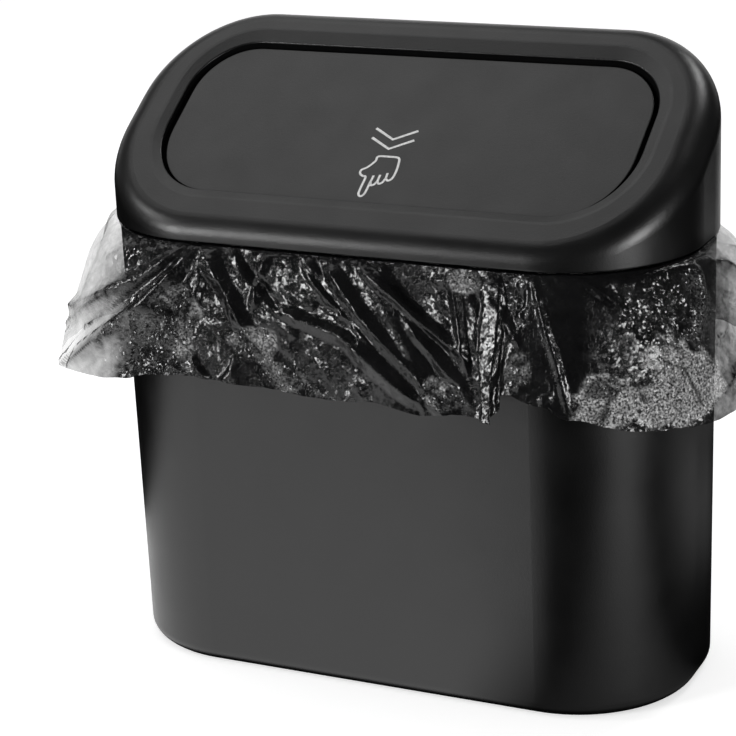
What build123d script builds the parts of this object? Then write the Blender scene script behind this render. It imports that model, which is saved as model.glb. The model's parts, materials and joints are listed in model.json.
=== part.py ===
from build123d import *
import math
import os

# Slim trash bin for a car: a tapered tub, a sloping lid frame that lifts off, a push flap that
# springs shut, a clip at the back, and a thin film bag folded outward over the tub's rim.
# Millimetres. X is the width, the front faces -Y, Z is up. The origin is the centre of the underside.

# Lid frame, seen from above
lid_width = 164.0
lid_depth = 75.4
lid_side_straight = 9.4
lid_rounding_ratio = 1.1086
lid_wall = 2.0
lid_overhang = 0.9

# Lid frame, seen from the side
tub_height = 120.0
lid_seat_gap = 1.0
front_height = 4.7
slope_angle = 32.6
crown_radius = 7.5
lid_edge_radius = 0.5

# Dished recess, opening and flap on the slope: distances in from the lid's outline, and depths below
# the slope
recess_side = 11.8
recess_front = 8.4
recess_back = 14.0
recess_depth = 0.8
recess_edge_radius = 4.0
opening_side = 14.8
opening_front = 11.5
opening_back = 17.2
flap_side_gap = 1.5
flap_front_gap = 0.8
flap_back_gap = 0.5
flap_depth = 1.8
flap_thickness = 2.2
flap_edge_radius = 0.4
opening_edge_radius = 0.35

# Flap's stop flange, which bears on the frame from below, and its stiffening ribs
flange_reach = 3.0
flange_thickness = 0.9
flange_clearance = 0.3
flange_back = 8.0
flap_rib_height = 1.6
flap_rib_thickness = 1.2
flap_rib_margin = 4.0
flap_rib_hinge_room = 12.0
flap_rib_count = 4

# Hinge
axis_back_offset = 4.0
axis_drop = 3.05
pin_radius = 1.0
pin_fit = 0.02
knuckle_clearance = 0.06
knuckle_radius = 2.5
knuckle_width = 8.0
knuckle_neck = 4.4
lug_radius = 2.4
lug_thickness = 3.0
lug_root = 16.5
lug_gap = 0.4
lug_rise = 0.5
spring_room = 11.0
hinge_inset = 31.8
pin_end = 0.8

# Return spring
wire_radius = 0.3
coil_radius = 1.95
coil_turns = 5
coil_pitch = 1.2
flap_leg = 12.0
frame_leg = 13.0
leg_clearance = 0.15
seat_length = 3.6
seat_width = 2.4

# Ribs that locate the lid frame in the tub's mouth
locator_thickness = 1.6
locator_depth = 9.0
locator_reach = 5.5
locator_height = 2.4
locator_clearance = 0.4
locator_lead_in = 1.0
locator_corner_gap = 3.3
locator_row_count = 4
locator_side_angles = (-35.0, 35.0)

# Tub
tub_wall = 2.0
tub_floor = 2.2
tub_draft = 0.5
tub_base_radius = 4.0
tub_inner_radius = 2.5
tub_rim_radius = 0.5

# Clip and its rails
clip_width = 30.0
clip_thickness = 2.6
clip_gap = 7.0
clip_top = 86.0
clip_length = 56.0
clip_head = 16.0
clip_bump = 1.2
clip_neck = 3.0
clip_edge_radius = 1.2
clip_rib_height = 1.0
clip_rib_width = 1.6
clip_rib_spacing = 8.0
clip_rib_count = 3
rail_width = 3.0
rail_lip = 2.4
rail_lip_thickness = 1.8
rail_floor = 2.0
clip_clearance = 0.15

# Film bag
film_thickness = 0.4
film_clearance = 0.2
film_points = 120
skirt_drop_front = 34.0
skirt_drop_back = 28.0
skirt_drop_wave = 2.5
skirt_flare_front = 8.5
skirt_flare_side = 14.0
skirt_bulge = 0.75
fold_depth = 2.6
fold_growth = 0.6
fold_lean = 9.0
# Waves of the hem and of the folds: how many go round the bin, their share and where they start
hem_waves = ((3, 1.0, 0.6), (7, 0.6, 0.0))
fold_waves = ((17, 0.6, 0.0), (34, 0.3, 0.9), (23, 0.25, 2.1))
skirt_steps = (0.1, 0.3, 0.53, 0.77, 1.0)

# Sizes that follow
slope = math.radians(slope_angle)
half_width = lid_width / 2
front_y = -lid_depth / 2
back_y = lid_depth / 2
lid_bottom = tub_height + lid_seat_gap
slope_plane = Plane(
    origin=(0, front_y, lid_bottom + front_height),
    x_dir=(1, 0, 0),
    z_dir=(0, -math.sin(slope), math.cos(slope)),
)
lid_back_radius = (lid_depth - lid_side_straight) / (1 + lid_rounding_ratio)
lid_front_radius = lid_rounding_ratio * lid_back_radius
# The crown's rounding leaves room on the front wall for the rounding of the lid's bottom edge
crown_share = 0.98
crown_reach = math.tan((math.pi / 2 - slope) / 2)
crown = min(crown_radius, crown_share * (front_height - lid_edge_radius) / crown_reach)
reach = 2 * lid_width
embed = 0.3
tolerance = 0.01
flap_bottom_depth = flap_depth + flap_thickness
ledge_bottom_depth = recess_depth + lid_wall
axis_depth = flap_bottom_depth + axis_drop
axis_y = back_y - opening_back - flap_back_gap - axis_back_offset
hinge_length = 2 * lug_thickness + knuckle_width + spring_room + 3 * lug_gap
hinge_start = half_width - hinge_inset - hinge_length
pin_length = hinge_length + 2 * pin_end


def slope_height(y, depth=0.0):
    """Height of the sloping plane at y, measured depth below the lid's crest."""
    return lid_bottom + front_height + (y - front_y) * math.tan(slope) - depth / math.cos(slope)


def plan(side, front, back):
    """The lid's outline seen from above, moved in by side, front and back."""
    shape = Pos(0, (front - back) / 2) * Rectangle(lid_width - 2 * side, lid_depth - front - back)
    shape = fillet(shape.vertices().group_by(Axis.Y)[0], lid_front_radius - side)
    return fillet(shape.vertices().group_by(Axis.Y)[-1], lid_back_radius - side)


def even_plan(inset):
    return plan(inset, inset, inset)


def layer(outline, top_depth, bottom_depth):
    """The upright prism over an outline, between two planes parallel to the slope."""
    prism = extrude(Pos(0, 0, -reach / 2) * outline, 2 * reach)
    middle = slope_plane.offset(-(top_depth + bottom_depth) / 2)
    return prism & (middle * Box(reach, 2 * reach, bottom_depth - top_depth))


def on_slope(outline, depth):
    """The outline, as seen from above, drawn on the sloping plane at a depth."""
    prism = extrude(Pos(0, 0, -reach / 2) * outline, 2 * reach)
    return prism & (slope_plane.offset(-depth) * Rectangle(reach, 2 * reach))


def edges_on_slope(shape, depth, side=0.0, front=0.0, back=0.0):
    """The edges that lie wholly on the sloping plane at a depth, within insets from the lid's outline."""
    def lies_on(edge):
        for place in (edge @ 0, edge @ 0.5, edge @ 1):
            off_plane = slope_plane.to_local_coords(place).Z + depth
            inside = abs(place.X) < half_width - side + tolerance
            inside = inside and front_y + front - tolerance < place.Y < back_y - back + tolerance
            if abs(off_plane) > tolerance or not inside:
                return False
        return True

    return shape.edges().filter_by(lies_on)


def hinge_plane(x):
    """A plane across the hinge axis: its x runs up the slope and its y along the slope's normal."""
    return Plane(
        origin=(x, axis_y, slope_height(axis_y, axis_depth)),
        x_dir=(0, math.cos(slope), math.sin(slope)),
        z_dir=(1, 0, 0),
    )


def tub_wall_y(z):
    """The outer face of the tub's back wall at a height."""
    return back_y - lid_overhang - (tub_height - z) * math.tan(math.radians(tub_draft))


def tapered_prism(inset, top, bottom):
    """A prism that narrows downward with the tub's draft; the inset is measured at the rim's height."""
    moved = inset + (tub_height - top) * math.tan(math.radians(tub_draft))
    face = Pos(0, 0, top) * even_plan(moved)
    return extrude(face, top - bottom, dir=(0, 0, -1), taper=tub_draft)


def clip_rails():
    """Two upright rails with inward lips, closed below, that hold the clip's head."""
    height = clip_head + rail_floor
    root = tub_wall_y(clip_top - height) - tub_wall / 2
    head_front = tub_wall_y(clip_top) + clip_clearance
    head_back = head_front + clip_thickness
    lip_front = head_back + clip_clearance
    lip_back = lip_front + rail_lip_thickness
    inner = clip_width / 2 + clip_clearance
    profile = Polyline(
        (inner, root),
        (inner + rail_width, root),
        (inner + rail_width, lip_back),
        (inner - rail_lip, lip_back),
        (inner - rail_lip, lip_front),
        (inner, lip_front),
        close=True,
    )
    rail = extrude(Pos(0, 0, clip_top - height) * make_face(profile), height)
    floor_width = 2 * (inner + rail_width)
    floor_depth = lip_back - root
    floor_place = Pos(0, root + floor_depth / 2, clip_top - height + rail_floor / 2)
    floor = floor_place * Box(floor_width, floor_depth, rail_floor)
    return rail + mirror(rail, Plane.YZ) + floor


def bin_body():
    outer = tapered_prism(lid_overhang, tub_height, 0)
    outer = fillet(outer.edges().group_by(Axis.Z)[0], tub_base_radius)
    inner = tapered_prism(lid_overhang + tub_wall, tub_height, tub_floor)
    inner = fillet(inner.edges().group_by(Axis.Z)[0], tub_inner_radius)
    tub = outer - inner
    tub = fillet(tub.edges().group_by(Axis.Z)[-1], tub_rim_radius)
    rails = clip_rails() - inner
    return tub + rails


def flap_back_edge():
    """How far up the slope from the axis the frame's opening ends, at the ledge's underside."""
    ledge = axis_depth - ledge_bottom_depth
    return (axis_back_offset + flap_back_gap + ledge * math.sin(slope)) / math.cos(slope)


def hinge_lug():
    """A lug under the frame's rear ledge, with a round nose about the pin."""
    ledge = axis_depth - ledge_bottom_depth
    back = flap_back_edge()
    outline = Polyline(
        (0, lug_radius),
        (back + lug_rise, lug_radius),
        (back + lug_rise, ledge + embed),
        (lug_root, ledge + embed),
        (lug_root / 2, -lug_radius),
        (0, -lug_radius),
        close=True,
    )
    face = make_face(outline) + Circle(lug_radius) - Circle(pin_radius + pin_fit)
    return extrude(face, lug_thickness)


def hinge_stations():
    """Where one side's lugs, knuckle and spring start along the axis, from the middle outward."""
    lug_a = hinge_start
    knuckle = lug_a + lug_thickness + lug_gap
    spring = knuckle + knuckle_width + lug_gap
    lug_b = spring + spring_room + lug_gap
    return lug_a, knuckle, spring, lug_b


def locator_rib():
    """One upright rib on the inside of the lid's wall, its wall end at x = 0 and reaching toward -X."""
    seat = lid_wall - embed
    top = lid_bottom + locator_height
    bottom = lid_bottom - locator_depth
    step = lid_bottom + film_clearance
    tip = lid_wall + locator_reach
    lower_edge = lid_overhang + tub_wall + film_clearance + film_thickness + locator_clearance
    outline = Polyline(
        (-seat, top),
        (-seat, step),
        (-lower_edge, step),
        (-lower_edge, bottom + locator_lead_in),
        (-lower_edge - locator_lead_in, bottom),
        (-tip, bottom),
        (-tip, top),
        close=True,
    )
    face = Plane.XZ * make_face(outline)
    return extrude(face, locator_thickness / 2, both=True)


def locator_ribs():
    ribs = []
    outermost = half_width - lid_front_radius - locator_corner_gap
    for index in range(locator_row_count):
        x = outermost * (2 * index / (locator_row_count - 1) - 1)
        ribs.append(Pos(x, front_y, 0) * Rot(0, 0, -90) * locator_rib())
        ribs.append(Pos(x, back_y, 0) * Rot(0, 0, 90) * locator_rib())
    for angle in locator_side_angles:
        radius = lid_front_radius if angle < 0 else lid_back_radius
        centre_y = front_y + radius if angle < 0 else back_y - radius
        place = Pos(half_width - radius, centre_y, 0) * Rot(0, 0, angle) * Pos(radius, 0, 0)
        rib = place * locator_rib()
        ribs.append(rib)
        ribs.append(mirror(rib, Plane.YZ))
    return ribs


def lid_frame():
    height = slope_height(back_y) + lid_wall - lid_bottom
    outer = extrude(Pos(0, 0, lid_bottom) * even_plan(0), height)
    outer = split(outer, bisect_by=slope_plane, keep=Keep.BOTTOM)
    outer = fillet(edges_on_slope(outer, 0), crown)
    outer = fillet(outer.edges().group_by(Axis.Z)[0], lid_edge_radius)
    inner = extrude(Pos(0, 0, lid_bottom - lid_wall) * even_plan(lid_wall), height)
    inner = split(inner, bisect_by=slope_plane.offset(-lid_wall), keep=Keep.BOTTOM)
    inner = fillet(edges_on_slope(inner, lid_wall), crown - lid_wall)
    ledge = plan(recess_side - lid_wall, recess_front - lid_wall, recess_back - lid_wall)
    ledge = layer(ledge, lid_wall - embed, ledge_bottom_depth)
    shell = outer - (inner - ledge)
    recess = plan(recess_side, recess_front, recess_back)
    opening = plan(opening_side, opening_front, opening_back)
    shell = shell - loft([on_slope(recess, 0).face(), on_slope(opening, recess_depth).face()])
    shell = shell - layer(opening, -crown_radius, 2 * crown_radius)
    recess_edges = edges_on_slope(shell, 0, recess_side, recess_front, recess_back)
    shell = fillet(recess_edges, recess_edge_radius)
    opening_edges = edges_on_slope(shell, recess_depth, opening_side, opening_front, opening_back)
    shell = fillet(opening_edges, opening_edge_radius)
    lug = hinge_lug()
    for x in (hinge_stations()[0], hinge_stations()[-1]):
        shell = shell + hinge_plane(x) * lug + hinge_plane(-x - lug_thickness) * lug
    leg_end = spring_path() @ 0 + Vector(-seat_length / 2, 0, 0)
    seat = hinge_plane(spring_station()) * spring_seat(leg_end, axis_depth - ledge_bottom_depth + embed)
    shell = shell + seat + mirror(seat, Plane.YZ)
    for rib in locator_ribs():
        shell = shell + rib
    return shell


def push_flap():
    side = opening_side + flap_side_gap
    front = opening_front + flap_front_gap
    back = opening_back + flap_back_gap
    plate = layer(plan(side, front, back), flap_depth, flap_bottom_depth)
    plate = fillet(edges_on_slope(plate, flap_depth), flap_edge_radius)
    flange_top = ledge_bottom_depth + flange_clearance
    flange_outline = plan(
        opening_side - flange_reach,
        opening_front - flange_reach,
        opening_back - flange_reach,
    )
    flange_limit = Pos(0, axis_y - flange_back - lid_depth / 2) * Rectangle(lid_width, lid_depth)
    flange = layer(flange_outline & flange_limit, flange_top, flange_top + flange_thickness)
    flap = plate + flange
    knuckle = hinge_stations()[1]
    rib_outline = plan(side + flap_rib_margin, front + flap_rib_margin, back + flap_rib_margin)
    rib_limit = Pos(0, axis_y - flap_rib_hinge_room - lid_depth / 2) * Rectangle(lid_width, lid_depth)
    ribs = layer(rib_outline & rib_limit, flap_bottom_depth - embed, flap_bottom_depth + flap_rib_height)
    outermost = knuckle + knuckle_width / 2
    for index in range(flap_rib_count):
        x = outermost * (2 * index / (flap_rib_count - 1) - 1)
        strip = Pos(x, 0, slope_height(0)) * Box(flap_rib_thickness, lid_depth, lid_depth * 2)
        flap = flap + (ribs & strip)
    neck = Pos(0, (axis_drop + embed) / 2) * Rectangle(knuckle_neck, axis_drop + embed)
    face = Circle(knuckle_radius) + neck - Circle(pin_radius + knuckle_clearance)
    barrel = extrude(face, knuckle_width)
    flap = flap + hinge_plane(knuckle) * barrel + hinge_plane(-knuckle - knuckle_width) * barrel
    leg_end = spring_path() @ 1 + Vector(seat_length / 2, 0, 0)
    seat = hinge_plane(spring_station()) * spring_seat(leg_end, axis_drop + embed)
    return flap + seat + mirror(seat, Plane.YZ)


def hinge_pin(side):
    start = hinge_start - pin_end
    x = start if side > 0 else -start - pin_length
    pin = extrude(Circle(pin_radius), pin_length)
    pin = chamfer(pin.edges(), pin_radius / 4)
    return hinge_plane(x) * pin


def spring_path():
    """The spring's line in the hinge plane: the frame's leg, the coil round the axis and the flap's leg."""
    helix = Rot(0, 0, 90) * Helix(coil_pitch, coil_turns * coil_pitch, coil_radius)
    start, end = helix @ 0, helix @ 1
    frame_side = Line(start - helix % 0 * frame_leg, start)
    flap_side = Line(end, end + helix % 1 * flap_leg)
    return frame_side + helix + flap_side


def spring_station():
    """Where the coil starts along the axis, in the middle of the room between knuckle and lug."""
    return hinge_stations()[2] + (spring_room - coil_turns * coil_pitch) / 2


def return_spring(side):
    """A torsion spring: a coil round the pin, one leg under the flap and one under the frame's ledge."""
    path = spring_path()
    spring = sweep(Plane(origin=path @ 0, z_dir=path % 0) * Circle(wire_radius), path=path)
    spring = hinge_plane(spring_station()) * spring
    return spring if side > 0 else mirror(spring, Plane.YZ)


def spring_seat(place, top):
    """A small pad in the hinge plane that a leg of the spring bears on, at a place on its line."""
    bottom = coil_radius + wire_radius + leg_clearance
    pad = Box(seat_length, top - bottom, seat_width)
    return Pos(place.X, (top + bottom) / 2, place.Z) * pad


def rear_clip():
    """A T-shaped head for the rails, a neck over their tops, and a springy tongue with ribs behind."""
    head_front = tub_wall_y(clip_top) + clip_clearance
    head_back = head_front + clip_thickness
    tongue_front = tub_wall_y(clip_top) + clip_gap
    tongue_back = tongue_front + clip_thickness
    foot = clip_top - clip_length
    outline = Polyline(
        (head_front, clip_top),
        (tongue_back, clip_top),
        (tongue_back, foot),
        (tongue_front, foot),
        (tongue_front - clip_bump, foot + 2 * clip_bump),
        (tongue_front, foot + 5 * clip_bump),
        (tongue_front, clip_top - clip_neck),
        (head_front, clip_top - clip_neck),
        close=True,
    )
    profile = make_face(outline)
    corners = profile.vertices().sort_by(lambda corner: abs(corner.X - tongue_back))[:2]
    profile = fillet(corners, clip_edge_radius)
    body_width = clip_width - 2 * (rail_lip + clip_clearance)
    clip = extrude(Plane.YZ * profile, body_width / 2, both=True)
    head_place = Pos(0, (head_front + head_back) / 2, clip_top - clip_head / 2)
    clip = clip + head_place * Box(clip_width, clip_thickness, clip_head)
    rib_length = clip_length - 4 * clip_thickness
    rib = Pos(0, tongue_back, (clip_top + foot) / 2) * Box(clip_rib_width, 2 * clip_rib_height, rib_length)
    for index in range(clip_rib_count):
        x = (index - (clip_rib_count - 1) / 2) * clip_rib_spacing
        clip = clip + Pos(x, 0, 0) * rib
    return clip


def outline_station(distance):
    """Place and outward direction on the lid's outline, at a distance from the middle of the front."""
    front_straight = half_width - lid_front_radius
    back_straight = half_width - lid_back_radius
    side_straight = lid_depth - lid_front_radius - lid_back_radius
    quarter = math.pi / 2
    perimeter = outline_length()
    along = distance % perimeter
    sign = 1
    if along > perimeter / 2:
        along = perimeter - along
        sign = -1
    if along < front_straight:
        return (sign * along, front_y), (0, -1)
    along -= front_straight
    if along < quarter * lid_front_radius:
        angle = along / lid_front_radius
        normal = (math.sin(angle), -math.cos(angle))
        centre = (front_straight, front_y + lid_front_radius)
        radius = lid_front_radius
    elif along < quarter * lid_front_radius + side_straight:
        along -= quarter * lid_front_radius
        return (sign * half_width, front_y + lid_front_radius + along), (sign, 0)
    else:
        along -= quarter * lid_front_radius + side_straight
        if along > quarter * lid_back_radius:
            return (sign * (back_straight - along + quarter * lid_back_radius), back_y), (0, 1)
        angle = along / lid_back_radius
        normal = (math.cos(angle), math.sin(angle))
        centre = (back_straight, back_y - lid_back_radius)
        radius = lid_back_radius
    place = (sign * (centre[0] + radius * normal[0]), centre[1] + radius * normal[1])
    return place, (sign * normal[0], normal[1])


def outline_length():
    """Length of the lid's outline seen from above."""
    rounding = (2 - math.pi / 2) * 2 * (lid_front_radius + lid_back_radius)
    return 2 * (lid_width + lid_depth) - rounding


def film_profile(index):
    """The film's middle surface at one station, from the bag's floor over the rim to the skirt's hem."""
    length = outline_length()
    distance = index * length / film_points
    place, normal = outline_station(distance)
    half = film_thickness / 2
    away = film_clearance + half
    draft = math.tan(math.radians(tub_draft))
    wall = lid_overhang + tub_wall + away
    corner = tub_inner_radius
    floor_z = tub_floor + away
    over_rim = tub_height + away
    rows = [
        (-wall - (tub_height - floor_z) * draft - corner, floor_z),
        (-wall - (tub_height - floor_z) * draft, floor_z + corner),
        (-wall, tub_height),
        (-wall + away, over_rim),
        (-lid_overhang, over_rim),
        (-lid_overhang + away, tub_height),
    ]
    backward = (1 + normal[1]) / 2
    flare = skirt_flare_front + (skirt_flare_side - skirt_flare_front) * normal[0] ** 2
    drop = skirt_drop_front + (skirt_drop_back - skirt_drop_front) * backward
    turn = 2 * math.pi * distance / length
    for count, share, shift in hem_waves:
        drop += skirt_drop_wave * share * math.sin(count * turn + shift)
    start, start_z = rows[-1]
    for step in skirt_steps:
        leaning_turn = turn + 2 * math.pi * fold_lean * step / length
        fold = sum(share * math.sin(count * leaning_turn + shift) for count, share, shift in fold_waves)
        out = start + flare * step ** skirt_bulge + fold_depth * fold * step ** fold_growth
        rows.append((out, start_z - drop * step))
    return [Vector(place[0] + out * normal[0], place[1] + out * normal[1], z) for out, z in rows]


def film_normal(grid, column, row):
    """Direction across the film at one point of its grid."""
    if row == 0:
        return Vector(0, 0, -1)
    before = grid[column - 1][row]
    after = grid[(column + 1) % len(grid)][row]
    upper = grid[column][min(row + 1, len(grid[column]) - 1)]
    lower = grid[column][row - 1]
    return (after - before).cross(upper - lower).normalized()


def triangle(a, b, c):
    return Face(Wire.make_polygon([a, b, c], close=True))


def bin_liner():
    grid = [film_profile(index) for index in range(film_points)]
    rows = len(grid[0])
    half = film_thickness / 2
    outer = []
    inner = []
    for column in range(film_points):
        shifts = [film_normal(grid, column, row) * half for row in range(rows)]
        outer.append([grid[column][row] + shifts[row] for row in range(rows)])
        inner.append([grid[column][row] - shifts[row] for row in range(rows)])
    faces = [
        Face(Wire.make_polygon([column[0] for column in outer], close=True)),
        Face(Wire.make_polygon([column[0] for column in inner], close=True)),
    ]
    for column in range(film_points):
        after = (column + 1) % film_points
        for side in (outer, inner):
            for row in range(rows - 1):
                a, b = side[column][row], side[after][row]
                c, d = side[after][row + 1], side[column][row + 1]
                faces += [triangle(a, b, c), triangle(a, c, d)]
        a, b = outer[column][-1], outer[after][-1]
        c, d = inner[after][-1], inner[column][-1]
        faces += [triangle(a, b, c), triangle(a, c, d)]
    return Solid(Shell(faces))


nodes = {
    "bin_body": bin_body,
    "rear_clip": rear_clip,
    "bin_liner": bin_liner,
    "lid_frame": lid_frame,
    "push_flap": push_flap,
    "hinge_pin_left": lambda: hinge_pin(-1),
    "hinge_pin_right": lambda: hinge_pin(1),
    "return_spring_left": lambda: return_spring(-1),
    "return_spring_right": lambda: return_spring(1),
}

os.makedirs("parts", exist_ok=True)
for name, make in nodes.items():
    export_step(make(), f"parts/{name}.step")
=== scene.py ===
import json
import math

import bmesh
import bpy
import numpy as np
from mathutils import Matrix, Vector


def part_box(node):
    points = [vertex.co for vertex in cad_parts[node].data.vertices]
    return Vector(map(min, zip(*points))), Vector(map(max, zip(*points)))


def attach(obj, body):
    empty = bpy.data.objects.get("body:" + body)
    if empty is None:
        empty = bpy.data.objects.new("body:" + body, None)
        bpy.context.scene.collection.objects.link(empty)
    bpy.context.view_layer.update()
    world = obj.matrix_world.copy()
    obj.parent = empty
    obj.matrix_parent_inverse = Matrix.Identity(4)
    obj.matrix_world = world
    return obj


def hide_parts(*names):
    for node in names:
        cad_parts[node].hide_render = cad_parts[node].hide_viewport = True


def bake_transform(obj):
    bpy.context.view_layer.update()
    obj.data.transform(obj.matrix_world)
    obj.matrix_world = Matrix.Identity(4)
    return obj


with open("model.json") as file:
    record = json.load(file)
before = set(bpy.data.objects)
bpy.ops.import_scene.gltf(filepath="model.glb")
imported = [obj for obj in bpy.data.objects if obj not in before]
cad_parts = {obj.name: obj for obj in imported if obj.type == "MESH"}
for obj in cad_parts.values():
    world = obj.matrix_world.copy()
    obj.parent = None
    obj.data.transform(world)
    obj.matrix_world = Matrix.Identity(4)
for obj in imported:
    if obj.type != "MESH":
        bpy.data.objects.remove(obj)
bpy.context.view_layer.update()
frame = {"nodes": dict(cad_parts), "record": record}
nodes = frame["nodes"]
MM = 0.001

# Lengths and places are in millimetres where they are named or listed, and in metres in the scene.

# The lid's outline seen from above, as the film follows it round the bin
lid_low, lid_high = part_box("lid_frame")
HALF_WIDTH = lid_high.x / MM
FRONT_Y = lid_low.y / MM
BACK_Y = lid_high.y / MM
FRONT_RADIUS = 34.7
BACK_RADIUS = 31.3
FRONT_STRAIGHT = HALF_WIDTH - FRONT_RADIUS
BACK_STRAIGHT = HALF_WIDTH - BACK_RADIUS
SIDE_STRAIGHT = (BACK_Y - FRONT_Y) - FRONT_RADIUS - BACK_RADIUS
HALF_LENGTH = (
    FRONT_STRAIGHT + BACK_STRAIGHT + SIDE_STRAIGHT
    + math.pi / 2 * (FRONT_RADIUS + BACK_RADIUS)
)
LENGTH = 2 * HALF_LENGTH

# The slope of the lid and the flap's depth below it
SLOPE = math.radians(32.6)
CREST_Z = 125.7
FLAP_DEPTH = 1.8

# The opening in the lid seen from above, with some room round it: half width, ends in y and corner radius
OPENING_HALF = 70.0
OPENING_FRONT = FRONT_Y + 8.5
OPENING_BACK = BACK_Y - 14.2
OPENING_RADIUS = 21.0


# Noise

TABLE_SIZE = 4096
HASH_PRIMES = (73856093, 19349663, 83492791)
HASH_SHIFT = 13
FEWEST_CELLS = 3


def random_table(seed):
    return np.random.default_rng(seed).uniform(-1.0, 1.0, TABLE_SIZE)


def hashed(table, *whole):
    """One table value for each set of whole numbers."""
    mixed = np.zeros_like(whole[0], dtype=np.int64)
    for number, prime in zip(whole, HASH_PRIMES):
        mixed ^= number.astype(np.int64) * prime
    mixed ^= mixed >> HASH_SHIFT
    return table[np.abs(mixed) % len(table)]


def eased(t):
    """Maps 0 to 1 onto itself, level at both ends."""
    return t * t * (3 - 2 * t)


def lattice(across, down, size):
    """Cells of a lattice that closes round the bin: left and right column, row, and the place in the cell."""
    count = max(FEWEST_CELLS, round(LENGTH / size))
    u = across / LENGTH * count
    v = down / size
    column, row = np.floor(u), np.floor(v)
    return np.mod(column, count), np.mod(column + 1, count), row, u - column, v - row


def facets(across, down, size, seed):
    """Flat facets with sharp creases, -1 to 1: random heights, each cell split one way or the other."""
    left, right, row, fu, fv = lattice(across, down, size)
    table = random_table(seed)
    a, b = hashed(table, left, row), hashed(table, right, row)
    c, d = hashed(table, left, row + 1), hashed(table, right, row + 1)
    split = hashed(random_table(seed + 1), left, row) > 0
    falling = np.where(
        fu + fv < 1,
        a + (b - a) * fu + (c - a) * fv,
        d + (c - d) * (1 - fu) + (b - d) * (1 - fv),
    )
    rising = np.where(
        fu > fv,
        a + (b - a) * fu + (d - b) * fv,
        a + (d - c) * fu + (c - a) * fv,
    )
    return np.where(split, falling, rising)


def smooth_noise(across, down, size, seed):
    """Soft noise, -1 to 1."""
    left, right, row, fu, fv = lattice(across, down, size)
    table = random_table(seed)
    fu, fv = eased(fu), eased(fv)
    top = hashed(table, left, row) * (1 - fu) + hashed(table, right, row) * fu
    bottom = hashed(table, left, row + 1) * (1 - fu) + hashed(table, right, row + 1) * fu
    return top * (1 - fv) + bottom * fv


# Way round the bin, from the middle of the front, positive to the right


def wrapped(across):
    """The same places, as distances of at most half the way round."""
    return (across + HALF_LENGTH) % LENGTH - HALF_LENGTH


def round_the_bin(stations, values, across):
    """Interpolates values given at stations round the bin, smoothly and closed."""
    stations = np.array(stations, float)
    values = np.array(values, float)
    x = np.concatenate([stations - LENGTH, stations, stations + LENGTH])
    y = np.concatenate([values] * 3)
    at = wrapped(across)
    i = np.clip(np.searchsorted(x, at) - 1, 0, len(x) - 2)
    t = eased((at - x[i]) / (x[i + 1] - x[i]))
    return y[i] * (1 - t) + y[i + 1] * t


def outline(across):
    """Places and outward directions on the lid's outline."""
    at = wrapped(across)
    along = np.abs(at)
    front_end = FRONT_STRAIGHT
    side_start = front_end + math.pi / 2 * FRONT_RADIUS
    side_end = side_start + SIDE_STRAIGHT
    back_start = side_end + math.pi / 2 * BACK_RADIUS
    front_turn = (along - front_end) / FRONT_RADIUS
    back_turn = (along - side_end) / BACK_RADIUS
    one, none = np.ones_like(along), np.zeros_like(along)
    stretches = (
        (front_end, along, FRONT_Y * one, none, -one),
        (
            side_start,
            FRONT_STRAIGHT + FRONT_RADIUS * np.sin(front_turn),
            FRONT_Y + FRONT_RADIUS - FRONT_RADIUS * np.cos(front_turn),
            np.sin(front_turn), -np.cos(front_turn),
        ),
        (side_end, HALF_WIDTH * one, FRONT_Y + FRONT_RADIUS + along - side_start, one, none),
        (
            back_start,
            BACK_STRAIGHT + BACK_RADIUS * np.cos(back_turn),
            BACK_Y - BACK_RADIUS + BACK_RADIUS * np.sin(back_turn),
            np.cos(back_turn), np.sin(back_turn),
        ),
        (math.inf, BACK_STRAIGHT - (along - back_start), BACK_Y * one, none, one),
    )
    before = [along < end for end, *_ in stretches]
    x, y, out_x, out_y = (np.select(before, values) for values in list(zip(*stretches))[1:])
    sign = np.where(at < 0, -1.0, 1.0)
    return np.stack([sign * x, y], -1), np.stack([sign * out_x, out_y], -1)


# Shader nodes

# Range in which nearly all of a noise lies
NOISE_LOW = 0.3
NOISE_HIGH = 0.7


def new_material(name):
    material = bpy.data.materials.new(name)
    material.use_nodes = True
    tree = material.node_tree
    return material, tree, tree.nodes["Principled BSDF"]


def add(tree, kind, inputs=None, **settings):
    """A node with its settings; inputs maps a socket to a value or to another node's socket."""
    node = tree.nodes.new(kind)
    for key, value in settings.items():
        setattr(node, key, value)
    for key, value in (inputs or {}).items():
        if isinstance(value, bpy.types.NodeSocket):
            tree.links.new(value, node.inputs[key])
        else:
            node.inputs[key].default_value = value
    return node


def maths(tree, operation, first, second, clamp=False):
    return add(tree, "ShaderNodeMath", {0: first, 1: second}, operation=operation, use_clamp=clamp).outputs[0]


def vector_maths(tree, operation, *values):
    node = add(tree, "ShaderNodeVectorMath", dict(enumerate(values)), operation=operation)
    return node.outputs["Value" if operation in ("DOT_PRODUCT", "LENGTH") else "Vector"]


def object_place(tree):
    return add(tree, "ShaderNodeTexCoord").outputs["Object"]


def attribute(tree, name):
    return add(tree, "ShaderNodeAttribute", attribute_name=name).outputs["Fac"]


def object_noise(tree, scale, detail=3.0, roughness=0.5):
    return add(
        tree, "ShaderNodeTexNoise",
        {"Vector": object_place(tree), "Scale": scale, "Detail": detail, "Roughness": roughness},
    ).outputs["Fac"]


def ramp(tree, source, low, high, start=0.0, end=1.0):
    """Maps a range of a factor onto a range of values."""
    node = add(
        tree, "ShaderNodeMapRange",
        {"Value": source, "From Min": start, "From Max": end, "To Min": low, "To Max": high},
    )
    return node.outputs["Result"]


def noise_ramp(tree, noise, low, high):
    return ramp(tree, noise, low, high, NOISE_LOW, NOISE_HIGH)


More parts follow.
